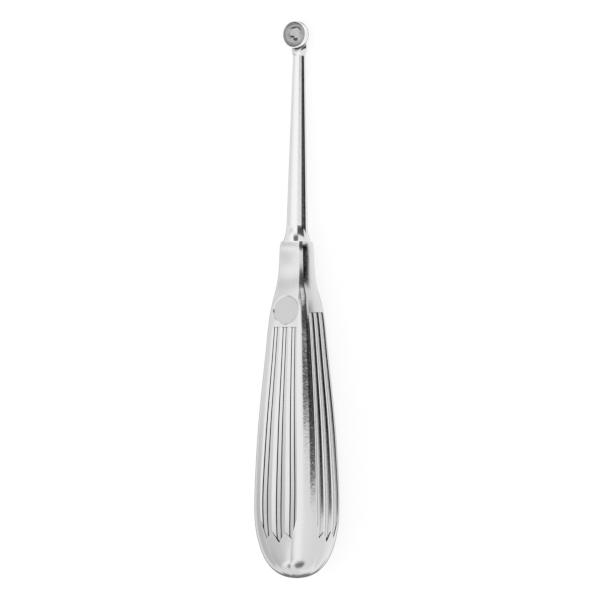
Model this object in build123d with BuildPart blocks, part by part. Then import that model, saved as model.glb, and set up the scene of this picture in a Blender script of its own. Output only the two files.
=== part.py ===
from build123d import *
from math import atan2, cos, degrees, radians, sin, tan
import os

# Bone curette with a round sharp spoon, a tapered shaft and a hollow fluted handle. Millimetres.
# It lies at rest with its front up: the handle's bulge and the back of the spoon touch z = 0.
# Heights on the handle are measured along its axis from the end of the butt.

# Handle: one closed shell, square with rounded corners in section.
# Each station gives its height, half the width across the flats, the corner's size, the crown of
# the sides, and how round the corner is, from 0, a flat chamfer, to 1, a quarter circle.
# Heights on the handle are given for the drawn length and stretch with the real one.
handle_length = 103.0
drawn_length = 103.0
stretch = handle_length / drawn_length
handle_stations = [
    (103.0, 4.05, 1.05, 0.28, 0.50),
    (102.2, 4.24, 1.10, 0.30, 0.30),
    (101.0, 4.38, 1.10, 0.30, 0.20),
    (98.0, 4.48, 1.10, 0.30, 0.15),
    (94.5, 4.60, 1.12, 0.28, 0.15),
    (90.0, 5.08, 1.40, 0.22, 0.30),
    (86.0, 5.95, 2.00, 0.17, 0.55),
    (81.0, 6.90, 2.90, 0.12, 0.88),
    (73.0, 7.75, 3.67, 0.12, 1.00),
    (60.5, 8.87, 4.28, 0.12, 1.00),
    (48.0, 9.90, 4.80, 0.12, 1.00),
    (36.0, 10.60, 5.20, 0.12, 1.00),
    (24.0, 11.06, 5.63, 0.12, 1.00),
    (16.0, 11.02, 6.05, 0.18, 1.00),
    (10.0, 10.32, 6.42, 0.34, 1.00),
    (5.2, 8.80, 6.10, 0.45, 1.00),
    (2.2, 6.50, 4.85, 0.42, 1.00),
    (0.6, 3.70, 2.80, 0.25, 1.00),
]
quarter_circle = 2**0.5 - 1

# The shell's wall, measured at the ridges, where its hollow ends under the neck, where the butt
# begins to close, and the hollow's smallest corner as a share of the outer one.
handle_wall = 1.6
hollow_top = 90.0
butt_start = 24.0
least_corner = 0.3

# Flutes: on each panel, hollows between low ridges, each with two narrow grooves along its middle
# and a flat rib between them. Each station gives a height of the handle, the pitch, and how far
# the ridge, the brow of the grooves and their floor lie below the panel.
flutes_on_panel = 3
flute_stations = [
    (86.0, 2.80, 0.08, 0.24, 0.46),
    (81.0, 2.95, 0.08, 0.26, 0.52),
    (73.0, 3.20, 0.08, 0.28, 0.58),
    (60.5, 3.62, 0.08, 0.30, 0.66),
    (48.0, 4.14, 0.08, 0.32, 0.72),
    (36.0, 4.57, 0.08, 0.34, 0.74),
    (24.0, 4.87, 0.10, 0.34, 0.74),
    (16.0, 4.66, 0.20, 0.36, 0.72),
    (10.0, 4.38, 0.34, 0.42, 0.68),
    (5.2, 4.20, 0.40, 0.46, 0.68),
]
# Shares of the pitch: the grooved strip, the grooves' outer and inner foot, and the rib's top.
strip_share = 0.43
outer_foot_share = 0.345
inner_foot_share = 0.325
rib_share = 0.24
rib_drop = 0.04
side_flutes_top = 81.4
flute_end_slope = 60.0
cutter_reach = 2.0
# Towards the butt each flute ends in a point: heights of the middle and outer points, of the cusps
# between them, and where the outermost edges leave the panel.
middle_point = 11.2
outer_point = 12.5
cusp_height = 14.4
point_pitch = 4.45
outer_edge = (7.6, 22.0)

# Thumb disc: a round flat recess on the front. The front's flutes begin just below it.
disc_radius = 4.75
disc_height = 82.0
disc_depth = 0.45
disc_flare = 50.0
disc_to_flutes = 0.35

# Bore of the neck, and the tang that is brazed into it.
tang_radius = 2.3
tang_length = 14.0
braze_gap = 0.05

# Shaft: it flares onto the neck and leans back a little from the handle's line.
shaft_lean = 1.3
flare_radius = 4.20
flare_waist = (3.52, 2.1)
flare_height = 4.8
shaft_root_radius = 3.17
shaft_tip_radius = 1.80
shaft_length = 56.8

# Spoon: half a ball under a short straight rim, open to the front, beyond the shaft's end.
spoon_radius = 4.2
rim_height = 0.5
spoon_wall = 0.6
rim_land = 0.35
spoon_rise = 3.1
root_length = 2.2
spoon_centre = shaft_length + root_length + spoon_radius
spoon_depth = spoon_radius + rim_height
# The root swells from the shaft into the bowl: distance from the spoon's middle as a share of its
# radius, half width, half depth and sink.
root_stations = [
    (0.857, 2.45, 1.50, 0.15),
    (0.286, 1.80, 0.40, 0.90),
]


def panel_level(height):
    """Half width across the flats at a height, straight between the stations."""
    levels = sorted((station[0], station[1]) for station in handle_stations)
    for (low, low_half), (high, high_half) in zip(levels, levels[1:]):
        if low <= height <= high:
            return low_half + (high_half - low_half) * (height - low) / (high - low)
    return levels[-1][1]


# Rest: the tool tips until the ridges of the handle's back and the spoon's back touch down.
lean = radians(shaft_lean)
spoon_height = handle_length + spoon_centre * cos(lean)
spoon_back = (spoon_depth - spoon_rise) * cos(lean) + spoon_centre * sin(lean)
rest_tilt = max(
    atan2(panel_level(height) - ridge_depth - spoon_back, spoon_height - height * stretch)
    for height, pitch, ridge_depth, brow_depth, floor_depth in flute_stations
)
tool = Plane(origin=(0, 0, 0), x_dir=(-1, 0, 0), z_dir=(0, cos(rest_tilt), -sin(rest_tilt)))


def turned(plane, about_x, about_z=0):
    """The plane turned about its own axes, in degrees."""
    return Plane(plane.location * Rotation(about_x, 0, about_z))


def across(plane, height):
    """The plane moved up the handle to a height."""
    return plane.offset(height * stretch)


def outline(height, half, corner, crown, roundness):
    """Face across the handle: four crowned sides joined by four corner curves."""
    side_end = half - corner
    side_level = half - crown
    bulge = quarter_circle / 2 * (side_level - side_end) * roundness
    corner_middle = (side_end + side_level) / 2 + bulge
    with BuildSketch(across(tool, height)) as section:
        with BuildLine():
            for quarter in range(4):
                start = Vector(side_end, side_level).rotate(Axis.Z, -90 * quarter)
                middle = Vector(corner_middle, corner_middle).rotate(Axis.Z, -90 * quarter)
                stop = Vector(side_level, side_end).rotate(Axis.Z, -90 * quarter)
                crown_top = Vector(half, 0).rotate(Axis.Z, -90 * quarter)
                side_stop = Vector(side_level, -side_end).rotate(Axis.Z, -90 * quarter)
                ThreePointArc(start, middle, stop)
                ThreePointArc(stop, crown_top, side_stop)
        make_face()
    return section.sketch.face()


def flute_section(pitch, ridge, brow, floor):
    """Outline of the three flutes across a panel, from the left edge to the right."""
    half_strip = pitch * strip_share / 2
    outer_foot = pitch * outer_foot_share / 2
    inner_foot = pitch * inner_foot_share / 2
    half_rib = pitch * rib_share / 2
    rib = brow - rib_drop
    points = []
    for flute in range(flutes_on_panel):
        middle = (flute + 0.5 - flutes_on_panel / 2) * pitch
        points += [
            (middle - pitch / 2, ridge),
            (middle - half_strip, brow),
            (middle - outer_foot, floor),
            (middle - inner_foot, floor),
            (middle - half_rib, rib),
            (middle + half_rib, rib),
            (middle + inner_foot, floor),
            (middle + outer_foot, floor),
            (middle + half_strip, brow),
        ]
    return points + [(flutes_on_panel * pitch / 2, ridge)]


def flute_cutter(quarter, top):
    """What the flutes take off one panel, from their top end down to their points."""
    panel = turned(tool, 0, 90 * quarter)
    widest = max(station[1] for station in handle_stations) + cutter_reach
    with BuildPart() as cutter:
        for height, pitch, ridge_depth, brow_depth, floor_depth in flute_stations:
            surface = panel_level(height)
            section = flute_section(
                pitch, surface - ridge_depth, surface - brow_depth, surface - floor_depth
            )
            edge = section[-1][0]
            with BuildSketch(across(panel, height)):
                Polygon(*section, (edge, widest), (-edge, widest), align=None)
        loft()
        run = 1 / tan(radians(flute_end_slope))
        surface = panel_level(top)
        top_end = top * stretch
        side_view = Plane(origin=panel.origin, x_dir=panel.z_dir, z_dir=-panel.x_dir)
        with BuildSketch(side_view):
            Polygon(
                (0, 0),
                (top_end - surface * run, 0),
                (top_end + (widest - surface) * run, widest),
                (0, widest),
                align=None,
            )
        extrude(amount=widest, both=True, mode=Mode.INTERSECT)
        front_view = Plane(origin=panel.origin, x_dir=panel.x_dir, z_dir=-panel.y_dir)
        edge_out, edge_height = outer_edge
        with BuildSketch(front_view):
            Polygon(
                (-widest, handle_length),
                (-widest, edge_height * stretch),
                (-edge_out, edge_height * stretch),
                (-point_pitch, outer_point * stretch),
                (-point_pitch / 2, cusp_height * stretch),
                (0, middle_point * stretch),
                (point_pitch / 2, cusp_height * stretch),
                (point_pitch, outer_point * stretch),
                (edge_out, edge_height * stretch),
                (widest, edge_height * stretch),
                (widest, handle_length),
                align=None,
            )
        extrude(amount=widest, both=True, mode=Mode.INTERSECT)
    return cutter.part


# Handle: the outer form, less its hollow, its flutes, the thumb disc and the neck's bore.
with BuildPart() as handle:
    butt_end = Vertex(*tool.origin)
    loft([outline(*station) for station in handle_stations] + [butt_end])

    hollow = []
    for height, half, corner, crown, roundness in handle_stations:
        if height <= hollow_top:
            lift = handle_wall * max(0, 1 - height / butt_start) / stretch
            inner_corner = max(corner - handle_wall, corner * least_corner)
            hollow.append(outline(height + lift, half - handle_wall, inner_corner, crown, roundness))
    loft(hollow, mode=Mode.SUBTRACT)

    with BuildSketch(tool.offset(handle_length)):
        Circle(tang_radius + braze_gap)
    extrude(amount=-(handle_length - hollow_top * stretch + braze_gap), mode=Mode.SUBTRACT)

    disc_reach = disc_radius / stretch
    add(flute_cutter(0, disc_height - disc_reach - disc_to_flutes), mode=Mode.SUBTRACT)
    for quarter in (1, 2, 3):
        add(flute_cutter(quarter, side_flutes_top), mode=Mode.SUBTRACT)

    disc_low = panel_level(disc_height - disc_reach)
    disc_high = panel_level(disc_height + disc_reach)
    disc_tilt = degrees(atan2(disc_low - disc_high, 2 * disc_radius))
    disc_level = panel_level(disc_height) - disc_depth
    disc_centre = tool.from_local_coords(Vector(0, disc_level, disc_height * stretch))
    front = Plane(origin=disc_centre, x_dir=tool.x_dir, z_dir=tool.y_dir)
    with BuildSketch(turned(front, disc_tilt)):
        Circle(disc_radius - disc_depth * tan(radians(disc_flare)))
    extrude(amount=cutter_reach, taper=-disc_flare, mode=Mode.SUBTRACT)

# Working end: tang, flared root, tapered shaft and spoon in one piece.
seat = tool.offset(handle_length)
shaft = turned(seat, shaft_lean)
shaft_side = Plane(origin=shaft.origin, x_dir=shaft.x_dir, z_dir=-shaft.y_dir)
spoon_middle = shaft.from_local_coords(Vector(0, spoon_rise, spoon_centre))
mouth = Plane(origin=spoon_middle, x_dir=shaft.x_dir, z_dir=shaft.y_dir)
mouth_side = Plane(origin=mouth.origin, x_dir=-mouth.y_dir, z_dir=-mouth.x_dir)
with BuildPart() as working_end:
    with BuildSketch(shaft_side):
        with BuildLine():
            taper_drop = shaft_root_radius - shaft_tip_radius
            taper_run = shaft_length - flare_height
            flare = Spline(
                (flare_radius, 0),
                flare_waist,
                (shaft_root_radius, flare_height),
                tangents=[(-0.55, 1), (-taper_drop / taper_run, 1)],
            )
            Polyline(
                flare @ 1,
                (shaft_tip_radius, shaft_length),
                (0, shaft_length),
                (0, -0.5),
                (flare_radius, -0.5),
                flare @ 0,
            )
        make_face()
    revolve(axis=Axis(shaft.origin, shaft.z_dir))
    split(bisect_by=seat)

    with BuildSketch(seat):
        Circle(tang_radius)
    extrude(amount=-tang_length)

    with BuildSketch(mouth_side):
        with BuildLine():
            bowl = CenterArc((0, spoon_radius - spoon_depth), spoon_radius, -90, 90)
            Polyline(bowl @ 1, (spoon_radius, 0), (0, 0), bowl @ 0)
        make_face()
    revolve(axis=Axis(mouth.origin, mouth.z_dir))

    with BuildSketch(shaft.offset(shaft_length)):
        Circle(shaft_tip_radius)
    for share, half_width, half_depth, sink in root_stations:
        with BuildSketch(shaft.offset(spoon_centre - share * spoon_radius)):
            with Locations((0, -sink)):
                Ellipse(half_width, half_depth)
    loft()

    with BuildSketch(mouth_side):
        with BuildLine():
            hollow_radius = spoon_radius - rim_land
            hollow_depth = spoon_depth - spoon_wall
            inside = CenterArc((0, hollow_radius - hollow_depth), hollow_radius, -90, 90)
            Polyline(inside @ 1, (hollow_radius, rim_land), (0, rim_land), inside @ 0)
        make_face()
    revolve(axis=Axis(mouth.origin, mouth.z_dir), mode=Mode.SUBTRACT)

# Laid down: the lowest point at z = 0 and the origin under the middle of the whole tool.
handle_box = handle.part.bounding_box()
end_box = working_end.part.bounding_box()
lowest = min(handle_box.min.Z, end_box.min.Z)
middle = (handle_box.min.Y + end_box.max.Y) / 2
laid = Location((0, -middle, -lowest))

os.makedirs("parts", exist_ok=True)
handle.part.locate(laid)
handle.part.label = "handle"
export_step(handle.part, "parts/handle.step")
working_end.part.locate(laid)
working_end.part.label = "working_end"
export_step(working_end.part, "parts/working_end.step")
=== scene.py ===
from math import cos, pi, radians, sin

import bmesh
import bpy
from mathutils import Matrix, Vector

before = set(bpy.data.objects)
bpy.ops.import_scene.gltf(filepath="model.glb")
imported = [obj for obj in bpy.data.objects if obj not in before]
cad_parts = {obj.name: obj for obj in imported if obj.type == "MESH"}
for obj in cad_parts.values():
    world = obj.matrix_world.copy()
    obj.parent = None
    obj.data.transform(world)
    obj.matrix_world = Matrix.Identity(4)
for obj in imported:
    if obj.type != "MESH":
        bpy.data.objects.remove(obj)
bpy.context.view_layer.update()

# The tool as the CAD holds it: a spoon, tapered shaft and tang forged and ground in one piece,
# brazed into the neck of a hollow fluted handle. It lies on its back, front up.
tool_tilt = radians(3.29)
tool_axis = Vector((0, cos(tool_tilt), -sin(tool_tilt)))
tool_front = Vector((0, sin(tool_tilt), cos(tool_tilt)))

# Working end: surgical stainless steel, turned and ground along its length, then brushed to a
# fine satin. The grain runs along the shaft, and the spoon is polished inside and out.
# Painted light in the steel's base colour: a painted highlight on sharp edges and painted shade in grooves
# and hollows, both set from occlusion probes.
edge_highlight_reach = 0.0004
edge_highlight_openness = (0.60, 0.97)
groove_shade_openness = (0.40, 0.93)
grain_stretch = (1, 0.05, 1)
grain_detail = 3
grain_depth = 0.0001
grain_strength = 0.05
cloud_scale = 1500
cloud_detail = 5
cloud_range = (0.3, 0.7)
cloud_roughness = (0.75, 1.3)
polish_share = 0.35
polish_blend = 0.003
spoon_start = 0.0745


def scaled(nodes, links, value, limits, results):
    """The value, mapped smoothly from between the limits to between the results."""
    ramp = nodes.new("ShaderNodeMapRange")
    ramp.interpolation_type = "SMOOTHSTEP"
    ramp.inputs["From Min"].default_value = limits[0]
    ramp.inputs["From Max"].default_value = limits[1]
    ramp.inputs["To Min"].default_value = results[0]
    ramp.inputs["To Max"].default_value = results[1]
    links.new(value, ramp.inputs["Value"])
    return ramp.outputs["Result"]


def combined(nodes, links, operation, *values):
    """The result of a math operation on sockets and plain numbers."""
    made = nodes.new("ShaderNodeMath")
    made.operation = operation
    for socket, value in zip(made.inputs, values):
        if isinstance(value, (int, float)):
            socket.default_value = value
        else:
            links.new(value, socket)
    return made.outputs["Value"]


def openness(nodes, reach, inside):
    """How open the surface is within reach: low in grooves or, from inside, at sharp edges."""
    probe = nodes.new("ShaderNodeAmbientOcclusion")
    probe.samples = 8
    probe.only_local = True
    probe.inside = inside
    probe.inputs["Distance"].default_value = reach
    return probe.outputs["AO"]


def noise(nodes, links, vector, scale, detail):
    texture = nodes.new("ShaderNodeTexNoise")
    texture.inputs["Scale"].default_value = scale
    texture.inputs["Detail"].default_value = detail
    links.new(vector, texture.inputs["Vector"])
    return texture.outputs["Fac"]


def steel(name, flat_level, edge_highlight_level, groove_shade_level, groove_shade_reach, roughness, grain_scale):
    """Satin steel: base colour with a painted highlight on sharp edges and painted shade in grooves, a
    grain along Y and a polished spoon.
    """
    metal = bpy.data.materials.new(name)
    metal.use_nodes = True
    nodes = metal.node_tree.nodes
    links = metal.node_tree.links
    shader = nodes["Principled BSDF"]
    shader.inputs["Metallic"].default_value = 1
    # Painted highlight: the base colour rises from the flat level to the edge level where occlusion probed
    # from inside finds a sharp edge.
    painted_edge_highlight = scaled(nodes, links, openness(nodes, edge_highlight_reach, True), edge_highlight_openness, (edge_highlight_level, flat_level))
    # Painted shade: the base colour falls to the groove level where occlusion probed from outside finds a
    # groove or hollow.
    groove_shade_probe = openness(nodes, groove_shade_reach, False)
    painted_groove_shade = scaled(nodes, links, groove_shade_probe, groove_shade_openness, (groove_shade_level, 1))
    links.new(combined(nodes, links, "MULTIPLY", painted_edge_highlight, painted_groove_shade), shader.inputs["Base Color"])

    place = nodes.new("ShaderNodeTexCoord").outputs["Object"]
    stretch = nodes.new("ShaderNodeMapping")
    stretch.inputs["Scale"].default_value = grain_stretch
    links.new(place, stretch.inputs["Vector"])
    grain = noise(nodes, links, stretch.outputs["Vector"], grain_scale, grain_detail)
    clouds = noise(nodes, links, place, cloud_scale, cloud_detail)

    split = nodes.new("ShaderNodeSeparateXYZ")
    links.new(place, split.inputs["Vector"])
    satin_limits = (roughness * cloud_roughness[0], roughness * cloud_roughness[1])
    satin = scaled(nodes, links, clouds, cloud_range, satin_limits)
    spoon_limits = (spoon_start, spoon_start + polish_blend)
    polish = scaled(nodes, links, split.outputs["Y"], spoon_limits, (1, polish_share))
    links.new(combined(nodes, links, "MULTIPLY", satin, polish), shader.inputs["Roughness"])
    bump = nodes.new("ShaderNodeBump")
    bump.inputs["Strength"].default_value = grain_strength
    bump.inputs["Distance"].default_value = grain_depth
    links.new(grain, bump.inputs["Height"])
    links.new(bump.outputs["Normal"], shader.inputs["Normal"])
    return metal


working_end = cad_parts["working_end"]
# The spoon's base colour gets painted shade inside its hollow, from a long occlusion reach, and a painted
# highlight on its sharp edges.
working_end.data.materials[0] = steel("ground_steel", 0.91, 0.97, 0.20, 0.0045, 0.11, 9000)

# Handle: one hollow shell of stainless steel, pressed in halves, welded along its length and
# buffed, with fluted panels for grip and a flat disc for the thumb.
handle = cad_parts["handle"]
# The handle's base colour gets painted shade in its flute grooves and recesses and a painted highlight on
# their sharp edges.
handle.data.materials[0] = steel("buffed_steel", 0.81, 0.98, 0.04, 0.0015, 0.135, 6000)

# Camera: high over the tool's right side, 31 degrees round from its front, with a long lens.
view_turn = radians(31)
frame_height = 0.1835
camera_distance = 1.5
camera_reach = 10
tool_middle = Vector((0, -0.0002, 0.0077))
look_from = tool_front * cos(view_turn) + Vector((1, 0, 0)) * sin(view_turn)
look_right = tool_axis.cross(look_from)
shift_right = 0.00095
look_at = tool_middle + look_right * shift_right
camera_data = bpy.data.cameras.new("camera")
camera_data.lens = camera_data.sensor_width * camera_distance / frame_height
camera_data.clip_end = camera_reach
camera = bpy.data.objects.new("camera", camera_data)
bpy.context.scene.collection.objects.link(camera)
turn = Matrix((look_right, tool_axis, look_from)).transposed().to_4x4()
camera.matrix_world = Matrix.Translation(look_at + look_from * camera_distance) @ turn
bpy.context.scene.camera = camera

# Floor: white, matt, wide enough to fill every view.
floor_reach = 3
floor_level = 0.26
floor_glow = 0.78
floor_mesh = bpy.data.meshes.new("floor")
floor = bpy.data.objects.new("floor", floor_mesh)
bpy.context.scene.collection.objects.link(floor)
sheet = bmesh.new()
bmesh.ops.create_grid(sheet, x_segments=1, y_segments=1, size=floor_reach)
sheet.to_mesh(floor_mesh)
sheet.free()
white = bpy.data.materials.new("white_floor")
white.use_nodes = True
floor_nodes = white.node_tree.nodes
floor_links = white.node_tree.links
paper = floor_nodes["Principled BSDF"]
paper.inputs["Base Color"].default_value = (floor_level, floor_level, floor_level, 1)
paper.inputs["Roughness"].default_value = 1
paper.inputs["Specular IOR Level"].default_value = 0
paper.inputs["Emission Color"].default_value = (1, 1, 1, 1)
seen = floor_nodes.new("ShaderNodeLightPath").outputs["Is Camera Ray"]
glow = combined(floor_nodes, floor_links, "MULTIPLY", seen, floor_glow)
floor_links.new(glow, paper.inputs["Emission Strength"])
floor_mesh.materials.append(white)
floor.visible_glossy = False

# Studio: a white tent, a little darker at the tool's left and right. Its openings and screens
# show as dark shapes in the metal. Turn is the angle about the tool from the camera, to the
# right, and rise is the angle towards the spoon, both in degrees.
studio = bpy.data.worlds.new("studio")
bpy.context.scene.world = studio
studio.use_nodes = True
nodes = studio.node_tree.nodes
links = studio.node_tree.links
nodes.clear()
ray = nodes.new("ShaderNodeTexCoord").outputs["Generated"]


def computed(operation, *values):
    return combined(nodes, links, operation, *values)


def along(direction):
    """How far the ray runs in a direction."""
    product = nodes.new("ShaderNodeVectorMath")
    product.operation = "DOT_PRODUCT"
    links.new(ray, product.inputs[0])
    product.inputs[1].default_value = direction
    return product.outputs["Value"]


def band(value, low, high, soft):
    """1 between low and high, falling to 0 over soft on both sides."""
    rise = scaled(nodes, links, value, (low - soft, low + soft), (0, 1))
    fall = scaled(nodes, links, value, (high - soft, high + soft), (0, 1))
    return computed("SUBTRACT", rise, fall)


turn_angle = computed("MULTIPLY", computed("ARCTAN2", along(look_right), along(look_from)), 180 / pi)
rise_angle = computed("MULTIPLY", computed("ARCSINE", along(tool_axis)), 180 / pi)

# Each stop: a turn and the level of the tent there.
ramp = nodes.new("ShaderNodeValToRGB")
ramp_stops = [
    (-180, 0.80), (-146, 0.82), (-106, 0.80), (-88, 0.86), (-74, 0.94), (-60, 1.0),
    (-12, 1.0), (6, 0.90), (20, 0.86), (48, 0.84), (112, 0.80), (132, 0.92), (146, 0.96),
    (180, 0.80),
]
while len(ramp.color_ramp.elements) > 1:
    ramp.color_ramp.elements.remove(ramp.color_ramp.elements[0])
ramp.color_ramp.elements[0].position = 0
for index, (angle, level) in enumerate(ramp_stops):
    position = (angle + 180) / 360
    stop = ramp.color_ramp.elements[0] if index == 0 else ramp.color_ramp.elements.new(position)
    stop.color = (level, level, level, 1)
links.new(computed("ADD", computed("DIVIDE", turn_angle, 360), 0.5), ramp.inputs["Fac"])

# Each opening or screen: limits and softness of its turn, then of its rise, and how dark it is.
openings = [
    ((50, 112, 6), (1.4, 12.5, 0.8), 0.94),
    ((92, 115, 4), (-3, 12.5, 2), 0.90),
    ((4, 78, 6), (8.6, 27, 2), 0.92),
    ((-36, 14, 8), (28, 62, 5), 0.85),
    ((20, 110, 10), (66, 100, 5), 0.94),
    ((-70, 60, 20), (-86, -64, 6), 0.80),
    ((-124, -50, 14), (-50, 3, 4), 0.32),
    ((-200, -156, 8), (-55, 60, 10), 0.75),
    ((156, 200, 8), (-55, 60, 10), 0.75),
    ((-86, -44, 8), (12, 22, 4), 0.26),
]
reflected = ramp.outputs["Color"]
for turn_limits, rise_limits, darkness in openings:
    gap = computed("MULTIPLY", band(turn_angle, *turn_limits), band(rise_angle, *rise_limits))
    open_share = computed("SUBTRACT", 1, computed("MULTIPLY", gap, darkness))
    reflected = computed("MULTIPLY", reflected, open_share)

path = nodes.new("ShaderNodeLightPath")
tent = nodes.new("ShaderNodeBackground")
tent.inputs["Color"].default_value = (1, 1, 1, 1)
tent.inputs["Strength"].default_value = 1
mirrored = nodes.new("ShaderNodeBackground")
mirrored.inputs["Color"].default_value = (1, 1, 1, 1)
links.new(reflected, mirrored.inputs["Strength"])
mix = nodes.new("ShaderNodeMixShader")
links.new(path.outputs["Is Glossy Ray"], mix.inputs["Fac"])
links.new(tent.outputs[0], mix.inputs[1])
links.new(mirrored.outputs[0], mix.inputs[2])
out = nodes.new("ShaderNodeOutputWorld")
links.new(mix.outputs[0], out.inputs["Surface"])

bpy.context.scene.view_settings.view_transform = "Standard"
